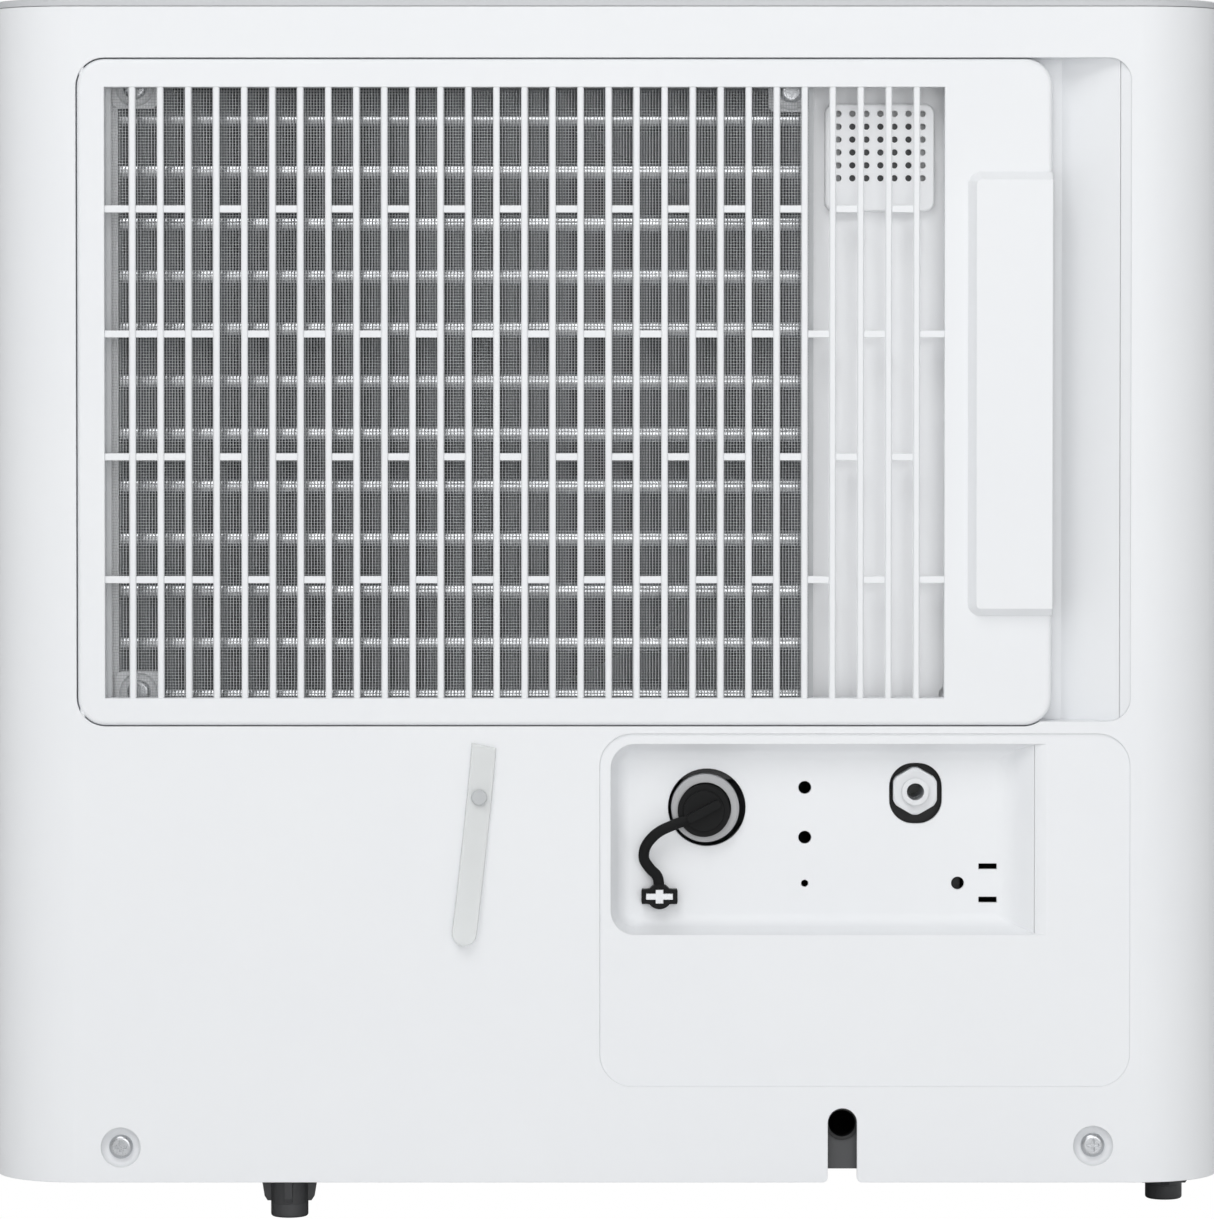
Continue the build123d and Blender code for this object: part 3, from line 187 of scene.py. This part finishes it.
# %% [markdown]
# Bare metal differs from plastic in one way that matters: its colour is in its reflection. Drawn
# tube and rolled sheet also carry fine lines along the way they were pulled, so the noise is
# stretched along one axis before it drives roughness and bump.

# %% Metals
def drawn_metal(name, colour, shade, roughness, stretch=(1.0, 1.0, 1.0), line_mm=0.5, relief_mm=0.01):
    """Bare metal with fine lines where stretch is small."""
    material, tree = new_material(name)
    place = add(tree, "ShaderNodeTexCoord").outputs["Object"]
    pulled = add(tree, "ShaderNodeMapping", {"Vector": place, "Scale": stretch})
    lines = add(tree, "ShaderNodeTexNoise", {"Vector": pulled.outputs["Vector"], "Scale": per_metre(line_mm),
                                             "Detail": 3.0})
    stain = add(tree, "ShaderNodeTexNoise", {"Vector": place, "Scale": per_metre(25), "Detail": 2.0})
    mixed = add(tree, "ShaderNodeMixRGB", {"Fac": stain.outputs["Fac"], "Color1": linear(colour),
                                           "Color2": linear(shade)})
    gloss = add(tree, "ShaderNodeMapRange", {"Value": lines.outputs["Fac"], "To Min": roughness - 0.08,
                                             "To Max": roughness + 0.1})
    edge = add(tree, "ShaderNodeBevel", {"Radius": 0.2 * MM}, samples=4)
    bump = add(tree, "ShaderNodeBump", {"Height": lines.outputs["Fac"], "Distance": relief_mm * MM,
                                        "Strength": 0.5, "Normal": edge.outputs["Normal"]})
    surface = add(tree, "ShaderNodeBsdfPrincipled", {
        "Base Color": mixed.outputs["Color"], "Roughness": gloss.outputs["Result"],
        "Normal": bump.outputs["Normal"], "Metallic": 1.0})
    add(tree, "ShaderNodeOutputMaterial", {"Surface": surface.outputs["BSDF"]})
    return material


zinc_plate = drawn_metal("zinc_plate", "#C6C8CB", "#B2B4B7", 0.28)
# Fin stock has a thin hydrophilic coat, which dulls it. Its grey is also darkened as painted shade, for the
# dim depth of the coil.
shaded_fin_aluminium = drawn_metal("shaded_fin_aluminium", "#95979A", "#838588", 0.5, stretch=(1.0, 1.0, 0.1), line_mm=2.0)
tube_aluminium = drawn_metal("tube_aluminium", "#D4D6D8", "#C0C2C5", 0.13, stretch=(0.1, 1.0, 1.0))
drawn_copper = drawn_metal("drawn_copper", "#C98A66", "#A9694A", 0.32, stretch=(1.0, 1.0, 0.2))
can_aluminium = drawn_metal("can_aluminium", "#C4C6C8", "#B2B4B6", 0.35, stretch=(1.0, 1.0, 0.1))
print("finishes made:", len(bpy.data.materials))


# %% [markdown]
# ## Dressing the CAD pieces
# A CAD piece whose shape is right stays as it is. It only needs its finish in its material slot.

# %% Give each CAD piece its finish
finish_of = {
    casing_abs: ("rear_cover", "door_tray", "recess_cups", "front_cover", "filter_door", "bucket_front"),
    brightened_frame_abs: ("coil_frame", "sensor_cover"),
    lid_abs: ("top_lid", "outlet_frame", "control_panel", "louvre_rear", "louvre_middle", "louvre_front"),
    dark_polypropylene: ("base_pan", "foot_posts", "drip_tray", "fan_scroll", "fan_wheel",
                         "louvre_link"),
    black_polypropylene: ("drain_pump", "cord_grommet"),
    foot_rubber: ("rubber_feet", "compressor_grommets"),
    plug_rubber: ("drain_plug", "plug_seal", "plug_tether"),
    grey_nylon: ("drain_spout",),
    white_acetal: ("hose_fitting", "fitting_collet", "bucket_float"),
    key_plastic: ("power_button", "mode_button", "fan_button", "down_button", "up_button"),
    bucket_polypropylene: ("bucket_tub",),
    clear_polyethylene: ("pump_hose", "cord_strap"),
    stud_polyethylene: ("strap_stud",),
    clear_styrene: ("level_window",),
    smoked_acrylic: ("display_lens",),
    solder_mask: ("control_board",),
    dark_epoxy: ("sensor_board",),
    black_enamel: ("compressor", "fan_motor"),
    filter_nylon: ("filter_mesh",),
    zinc_plate: ("cover_screws", "coil_screws", "motor_shaft", "compressor_studs"),
    shaded_fin_aluminium: ("evaporator_fins", "condenser_fins"),
    tube_aluminium: ("evaporator_tubes", "condenser_tubes"),
    drawn_copper: ("suction_pipe", "discharge_pipe", "filter_drier", "capillary_tube"),
    can_aluminium: ("run_capacitor",),
}
for finish, names in finish_of.items():
    for name in names:
        nodes[name].data.materials.clear()
        nodes[name].data.materials.append(finish)
print("CAD pieces dressed:", sum(len(names) for names in finish_of.values()), "of", len(nodes))


# %% [markdown]
# ## Rows of thin bars, with Geometry Nodes
# The coil is a stack of thin plates, and the dust filter is a net of threads. Both are the same
# rule: a row of equal bars. One small tree makes such a row from named sizes: a line of points, one
# bar on each, turned into real mesh at the end so that it exports.

# %% The row tree
def row_of_bars_tree():
    """Geometry Nodes tree: Count bars of size Bar, the first at Start, each Step from the last."""
    tree = bpy.data.node_groups.new("row_of_bars", "GeometryNodeTree")
    for name, kind in (("Start", "Vector"), ("Step", "Vector"), ("Count", "Int"), ("Bar", "Vector"),
                       ("Finish", "Material")):
        tree.interface.new_socket(name, in_out="INPUT", socket_type="NodeSocket" + kind)
    tree.interface.new_socket("Geometry", in_out="OUTPUT", socket_type="NodeSocketGeometry")
    given = add(tree, "NodeGroupInput").outputs
    line = add(tree, "GeometryNodeMeshLine", {"Count": given["Count"], "Start Location": given["Start"],
                                              "Offset": given["Step"]})
    bar = add(tree, "GeometryNodeMeshCube", {"Size": given["Bar"]})
    copies = add(tree, "GeometryNodeInstanceOnPoints", {"Points": line.outputs["Mesh"],
                                                        "Instance": bar.outputs["Mesh"]})
    real = add(tree, "GeometryNodeRealizeInstances", {"Geometry": copies.outputs["Instances"]})
    done = add(tree, "GeometryNodeSetMaterial", {"Geometry": real.outputs["Geometry"],
                                                 "Material": given["Finish"]})
    add(tree, "NodeGroupOutput", {"Geometry": done.outputs["Geometry"]})
    return tree


def grown(name, tree, sizes):
    """The plain mesh object that a tree makes from these sizes."""
    holder = bpy.data.objects.new(name, bpy.data.meshes.new(name))
    bpy.context.scene.collection.objects.link(holder)
    modifier = holder.modifiers.new("grow", "NODES")
    modifier.node_group = tree
    for socket in tree.interface.items_tree:
        if socket.in_out == "INPUT":
            modifier[socket.identifier] = sizes[socket.name]
    evaluated = holder.evaluated_get(bpy.context.evaluated_depsgraph_get())
    mesh = bpy.data.meshes.new_from_object(evaluated)
    holder.modifiers.remove(modifier)
    holder.data = mesh
    print(name, "has", len(mesh.polygons), "faces")
    return holder


def joined(name, pieces):
    """Several mesh objects as one. The first ones are removed."""
    mesh = bpy.data.meshes.new(name)
    combined = bmesh.new()
    for piece in pieces:
        combined.from_mesh(piece.data)
        bpy.data.objects.remove(piece)
    combined.to_mesh(mesh)
    combined.free()
    result = bpy.data.objects.new(name, mesh)
    bpy.context.scene.collection.objects.link(result)
    return result


bars = row_of_bars_tree()


# %% [markdown]
# ### Coil fins
# Real fins are 0.1 mm aluminium at about 1.1 mm pitch. At that thickness they would vanish between
# two samples, so they are drawn at 0.3 mm and a little further apart. The plates fill the box of
# the CAD fin pack.

# %% Grow the fin packs
FIN_PITCH = 1.3 * MM
FIN_THICK = 0.3 * MM


def fin_pack(node):
    """Upright plates in place of a solid CAD fin pack."""
    low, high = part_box(node)
    count = int((high[0] - low[0]) / FIN_PITCH)
    middle = [(a + b) / 2 for a, b in zip(low, high)]
    pack = grown(node + "_plates", bars, {
        "Start": (low[0] + FIN_THICK, middle[1], middle[2]), "Step": (FIN_PITCH, 0, 0), "Count": count,
        "Bar": (FIN_THICK, high[1] - low[1], high[2] - low[2]), "Finish": shaded_fin_aluminium})
    pack.data.materials.clear()
    pack.data.materials.append(shaded_fin_aluminium)
    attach(pack, "cabinet")
    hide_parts(node)


for coil in ("evaporator_fins", "condenser_fins"):
    fin_pack(coil)


# %% [markdown]
# ### Dust filter net
# The washable filter is a woven nylon net in a thin frame. Threads that cross in two layers look
# the same as a true weave from here and cost far fewer faces.

# %% Grow the net
THREAD_PITCH = 1.15 * MM
THREAD = 0.19 * MM
NET_EDGE = 2 * MM


def filter_net():
    """Two layers of threads and four edge strips in place of the CAD mesh panel."""
    low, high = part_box("filter_mesh")
    wide = high[0] - low[0]
    tall = high[2] - low[2]
    y = (low[1] + high[1]) / 2
    x = (low[0] + high[0]) / 2
    z = (low[2] + high[2]) / 2
    layers = [
        grown("threads_up", bars, {"Start": (low[0], y - THREAD / 2, z), "Step": (THREAD_PITCH, 0, 0),
                                   "Count": int(wide / THREAD_PITCH) + 1, "Bar": (THREAD, THREAD, tall),
                                   "Finish": filter_nylon}),
        grown("threads_across", bars, {"Start": (x, y + THREAD / 2, low[2]), "Step": (0, 0, THREAD_PITCH),
                                       "Count": int(tall / THREAD_PITCH) + 1, "Bar": (wide, THREAD, THREAD),
                                       "Finish": filter_nylon}),
        grown("edge_up", bars, {"Start": (low[0], y, z), "Step": (wide, 0, 0), "Count": 2,
                                "Bar": (NET_EDGE, MM, tall + NET_EDGE), "Finish": filter_nylon}),
        grown("edge_across", bars, {"Start": (x, y, low[2]), "Step": (0, 0, tall), "Count": 2,
                                    "Bar": (wide + NET_EDGE, MM, NET_EDGE), "Finish": filter_nylon}),
    ]
    net = joined("filter_net", layers)
    net.data.materials.append(filter_nylon)
    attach(net, "filter_door")
    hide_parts("filter_mesh")


filter_net()


# %% [markdown]
# ## Straps
# Two flexible strips show: the rubber tether of the drain plug and the milky strip that ties a
# coiled cord. Each is a rounded flat section carried along a smooth line through a few listed points.
# The tether crosses the joint between the plug and the cabinet.

# %% Sweep a flat strip
def smooth_line(points, steps):
    """Points along a Catmull-Rom curve through the given ones."""
    ends = [points[0] * 2 - points[1]] + points + [points[-1] * 2 - points[-2]]
    line = []
    for a, b, c, d in zip(ends, ends[1:], ends[2:], ends[3:]):
        for step in range(steps):
            t = step / steps
            line.append(0.5 * (2 * b + (c - a) * t + (2 * a - 5 * b + 4 * c - d) * t ** 2
                               + (3 * b - a - 3 * c + d) * t ** 3))
    return line + [points[-1]]


def strip(name, points, width, thick, finish, round_ends=(False, False), slant=0.0, steps=8):
    """A flat strip with rounded edges along a smooth line. Its flat side faces Y. slant cuts its start."""
    line = smooth_line([Vector(p) * MM for p in points], steps)
    # The section as shares of half the width and half the thickness, with softened corners.
    corner = [(1, 0.0), (0.92, 0.7), (0.75, 1), (-0.75, 1), (-0.92, 0.7), (-1, 0), (-0.92, -0.7), (-0.75, -1),
              (0.75, -1), (0.92, -0.7)]
    run = [0.0]
    for a, b in zip(line, line[1:]):
        run.append(run[-1] + (b - a).length)
    made = bmesh.new()
    rings = []
    half = width / 2
    for i, place in enumerate(line):
        along = (line[min(i + 1, len(line) - 1)] - line[max(i - 1, 0)]).normalized()
        side = along.cross(Vector((0, 1, 0))).normalized()
        up = side.cross(along).normalized()
        spread = half
        for is_round, distance in ((round_ends[0], run[i]), (round_ends[1], run[-1] - run[i])):
            if is_round and distance < half:
                spread = math.sqrt(max(half ** 2 - (half - distance) ** 2, (0.12 * half) ** 2))
        lean = along * slant if i == 0 else Vector()
        rings.append([made.verts.new(place + side * spread * u + lean * u + up * thick / 2 * v)
                      for u, v in corner])
    for a, b in zip(rings, rings[1:]):
        for k in range(len(corner)):
            made.faces.new((a[k], a[k - 1], b[k - 1], b[k]))
    made.faces.new(rings[0])
    made.faces.new(list(reversed(rings[-1])))
    bmesh.ops.recalc_face_normals(made, faces=made.faces)
    mesh = bpy.data.meshes.new(name)
    made.to_mesh(mesh)
    made.free()
    mesh.shade_smooth()
    mesh.materials.append(finish)
    piece = bpy.data.objects.new(name, mesh)
    bpy.context.scene.collection.objects.link(piece)
    print(name, "runs", round(run[-1] / MM, 1), "mm")
    return piece


# %% [markdown]
# ### Plug tether
# The tether leaves the plug's rim at its lower left, turns down in a loose S and ends in a ring with
# two ears that is hooked over a cross-shaped tab. The ring stays a CAD-like shape: a flat washer with
# a slot, made here as an outline with a hole.

# %% Make the tether
def outline_plate(name, outer, hole, y0, y1, finish):
    """A plate between y0 and y1 with one outline and one hole, both lists of (x, z) in millimetres."""
    made = bmesh.new()
    loops = []
    for y in (y0, y1):
        rim = [made.verts.new(Vector((x, y, z)) * MM) for x, z in outer]
        inner = [made.verts.new(Vector((x, y, z)) * MM) for x, z in hole]
        edges = [made.edges.new((ring[k - 1], ring[k])) for ring in (rim, inner) for k in range(len(ring))]
        bmesh.ops.triangle_fill(made, edges=edges, use_beauty=True)
        loops.append((rim, inner))
    for front, back in zip(*loops):
        for k in range(len(front)):
            made.faces.new((front[k - 1], front[k], back[k], back[k - 1]))
    bmesh.ops.recalc_face_normals(made, faces=made.faces)
    mesh = bpy.data.meshes.new(name)
    made.to_mesh(mesh)
    made.free()
    mesh.materials.append(finish)
    piece = bpy.data.objects.new(name, mesh)
    bpy.context.scene.collection.objects.link(piece)
    return piece


TETHER = Vector((20.9, 0, 130.0))
TETHER_WIDE = 4.3 * MM
TETHER_THICK = 1.9 * MM
RING_R = 5.0
EAR_REACH = 7.2
EAR_HALF_HEIGHT = 2.9
RING_FRONT = -162.6
RING_BACK = -158.1
SLOT_SIZE = (5.5, 1.4, 2.9, 1.7)


def cross_outline(arm, half_arm, leg, half_leg):
    """The corners of a cross that lies along X, in order."""
    x, z = TETHER.x, TETHER.z
    quarter = [(arm, half_arm), (half_leg, half_arm), (half_leg, leg)]
    right = [(x + a, z + b) for a, b in quarter]
    left = [(x - a, z + b) for a, b in reversed(quarter)]
    low_left = [(x - a, z - b) for a, b in quarter]
    low_right = [(x + a, z - b) for a, b in reversed(quarter)]
    return right + left + low_left + low_right


def ear_outline():
    """A ring with an ear at each side and softened corners."""
    points = []
    for step in range(48):
        turn = math.tau * step / 48
        x = math.cos(turn)
        z = math.sin(turn)
        ear = 1 / max(abs(x) / EAR_REACH, abs(z) / EAR_HALF_HEIGHT)
        points.append((TETHER.x + max(RING_R, ear) * x, TETHER.z + max(RING_R, ear) * z))
    return points


tether = strip("tether_strap", [(33.0, -165.4, 161.2), (26.5, -165.2, 158.9), (20.0, -164.8, 155.6),
                                (15.6, -164.2, 150.6), (14.7, -163.4, 145.4), (17.0, -162.6, 141.4),
                                (20.0, -161.8, 138.0), (20.9, -161.2, 133.2)],
               TETHER_WIDE, TETHER_THICK, plug_rubber)
anchor = outline_plate("tether_anchor", ear_outline(), cross_outline(*SLOT_SIZE), RING_FRONT, RING_BACK,
                       plug_rubber)
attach(anchor, "cabinet")
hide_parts("plug_tether")
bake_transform(tether)


# %% [markdown]
# ### Cord strip
# The strip hangs from its stud, leans a little to the left, and its lower half bows off the panel.

# %% Make the cord strip
CORD_STRIP_WIDE = 9.9 * MM
CORD_STRIP_THICK = 0.8 * MM
CORD_STRIP_SLANT = 0.6 * MM

cord_strip = strip("cord_strip", [(-48.7, -171.0, 191.0), (-49.6, -171.3, 181.0), (-50.6, -171.5, 170.4),
                                  (-51.9, -171.4, 158.0), (-53.6, -171.8, 142.0), (-55.4, -172.8, 126.0),
                                  (-57.2, -174.0, 111.4)],
                   CORD_STRIP_WIDE, CORD_STRIP_THICK, clear_polyethylene,
                   round_ends=(False, True), slant=CORD_STRIP_SLANT)
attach(cord_strip, "cord_strap")
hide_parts("cord_strap")


# %% [markdown]
# ## Small marks
# The keys carry plain generic marks, three lamps sit beside the display, and the bucket window has
# level lines. All are short bars printed about a tenth of a millimetre proud, so the same row tree
# makes them.

# %% Print the marks
MARK_LIFT = 0.05


def printed(name, body, rows, finish):
    """Bars in rows that ride on one body. A row is start, step, count and bar size in millimetres."""
    layers = [grown(name, bars, {"Start": Vector(start) * MM, "Step": Vector(step) * MM, "Count": count,
                                 "Bar": Vector(size) * MM, "Finish": finish})
              for start, step, count, size in rows]
    marks = joined(name, layers)
    marks.data.materials.append(finish)
    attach(marks, body)


def key_top(key):
    """The middle of a key's top, in millimetres."""
    low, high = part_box(key)
    return [(low[0] + high[0]) / 2 / MM, (low[1] + high[1]) / 2 / MM, high[2] / MM + MARK_LIFT]


def print_keys():
    """A bar for power, a stack for mode, a blade cross for fan, a minus and a plus."""
    marks = {
        "power_button": [((0, 0, 0), (0, 0, 0), 1, (0.6, 3.6, 0.1))],
        "mode_button": [((0, -1.2, 0), (0, 1.2, 0), 3, (3.4, 0.45, 0.1))],
        "fan_button": [((0, 0, 0), (0, 0, 0), 1, (3.6, 0.5, 0.1)),
                        ((-1.2, 0, 0), (1.2, 0, 0), 3, (0.5, 2.6, 0.1))],
        "down_button": [((0, 0, 0), (0, 0, 0), 1, (3.4, 0.6, 0.1))],
        "up_button": [((0, 0, 0), (0, 0, 0), 1, (3.4, 0.6, 0.1)),
                       ((0, 0, 0.02), (0, 0, 0), 1, (0.6, 3.4, 0.1))],
    }
    for key, rows in marks.items():
        middle = Vector(key_top(key))
        placed = [(middle + Vector(start), step, count, size) for start, step, count, size in rows]
        printed(key + "_mark", key, placed, smoked_acrylic)


print_keys()
lens_low, lens_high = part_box("display_lens")
lamp_x = lens_high[0] / MM - 6
lamp_y = (lens_low[1] + lens_high[1]) / 2 / MM
lamp_z = lens_high[2] / MM + MARK_LIFT
printed("display_lamps", "cabinet", [((lamp_x, lamp_y - 6, lamp_z), (0, 6, 0), 3, (2.4, 1.2, 0.1))],
        key_plastic)
window_low, window_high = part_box("level_window")
window_x = (window_low[0] + window_high[0]) / 2 / MM
window_y = window_high[1] / MM + MARK_LIFT
printed("level_lines", "bucket", [((window_x, window_y, 54), (0, 0, 12), 5, (5, 0.1, 0.5))],
        smoked_acrylic)


# %% [markdown]
# ## Stage, light and camera
# A pale floor and a soft, almost shadowless light, as for a shop picture. Most of the light comes
# from all round, so that the white casing stays white. One large soft box above and to the left
# gives the recesses their shading. The camera sees a brighter backdrop than the one that lights the
# machine, so the rounded corners stand out against it.

# %% Floor
def stage_floor():
    """A wide pale floor. Seen directly it is as bright as the backdrop, as on a white sweep."""
    mesh = bpy.data.meshes.new("floor")
    reach = 6.0
    mesh.from_pydata([(-reach, -reach, 0), (reach, -reach, 0), (reach, reach, 0), (-reach, reach, 0)], [],
                     [(0, 1, 2, 3)])
    floor = bpy.data.objects.new("floor", mesh)
    bpy.context.scene.collection.objects.link(floor)
    material, tree = new_material("floor_paint")
    paint = add(tree, "ShaderNodeBsdfPrincipled", {"Base Color": linear("#F7F7F7"), "Roughness": 0.8})
    white = add(tree, "ShaderNodeEmission", {"Color": (1, 1, 1, 1), "Strength": 1.0})
    seen = add(tree, "ShaderNodeLightPath").outputs["Is Camera Ray"]
    surface = add(tree, "ShaderNodeMixShader", {0: seen, 1: paint.outputs[0], 2: white.outputs[0]})
    add(tree, "ShaderNodeOutputMaterial", {"Surface": surface.outputs[0]})
    mesh.materials.append(material)


stage_floor()


# %% World and lamps
def studio_world(glow, backdrop):
    """Even light from all round. What the camera sees directly is a brighter white."""
    world = bpy.data.worlds.new("studio")
    bpy.context.scene.world = world
    world.use_nodes = True
    tree = world.node_tree
    tree.nodes.clear()
    seen = add(tree, "ShaderNodeLightPath").outputs["Is Camera Ray"]
    light = add(tree, "ShaderNodeBackground", {"Color": (1, 1, 1, 1), "Strength": glow})
    behind = add(tree, "ShaderNodeBackground", {"Color": (1, 1, 1, 1), "Strength": backdrop})
    mixed = add(tree, "ShaderNodeMixShader", {0: seen, 1: light.outputs[0], 2: behind.outputs[0]})
    add(tree, "ShaderNodeOutputWorld", {"Surface": mixed.outputs[0]})


def soft_box(name, place, target, size, watts):
    """A square area lamp that points at target."""
    lamp = bpy.data.lights.new(name, "AREA")
    lamp.size = size
    lamp.energy = watts
    light = bpy.data.objects.new(name, lamp)
    light.location = place
    light.rotation_euler = (Vector(target) - Vector(place)).to_track_quat("-Z", "Y").to_euler()
    bpy.context.scene.collection.objects.link(light)


MIDDLE = (0, 0, 0.25)
studio_world(glow=0.46, backdrop=1.0)
soft_box("key", (-0.6, -2.0, 2.3), MIDDLE, size=1.5, watts=26)
soft_box("front_fill", (0.4, -3.2, 0.6), MIDDLE, size=1.6, watts=22)
soft_box("far_fill", (0.8, 2.6, 2.0), MIDDLE, size=1.8, watts=22)


# %% [markdown]
# ## Camera
# A long lens far away keeps the face of the machine square. The camera stands a little above the
# middle, so the lower corners curve up slightly and the lid's top stays hidden.

# %% Camera
def place_camera(height, distance, view_width, aim_z, shift):
    """Camera on the intake side. view_width is what the frame covers at the intake face, in metres."""
    low, _ = cad_box
    face_y = low[1] + 5 * MM
    eye = Vector((0, face_y - distance, height))
    camera = bpy.data.cameras.new("camera")
    camera.sensor_fit = "HORIZONTAL"
    camera.sensor_width = 36
    camera.lens = camera.sensor_width * distance / view_width
    camera.shift_y = shift
    camera.clip_end = 50
    holder = bpy.data.objects.new("camera", camera)
    holder.location = eye
    holder.rotation_euler = (Vector((0, face_y, aim_z)) - eye).to_track_quat("-Z", "Y").to_euler()
    bpy.context.scene.collection.objects.link(holder)
    bpy.context.scene.camera = holder
    print("lens", round(camera.lens, 1), "mm")


VIEW_WIDTH = 0.4807
PICTURE_MIDDLE_Z = 0.2449
SHIFT = -0.12
place_camera(0.36, 2.31, VIEW_WIDTH, PICTURE_MIDDLE_Z - SHIFT * VIEW_WIDTH, SHIFT)
bpy.context.scene.view_settings.view_transform = "Standard"
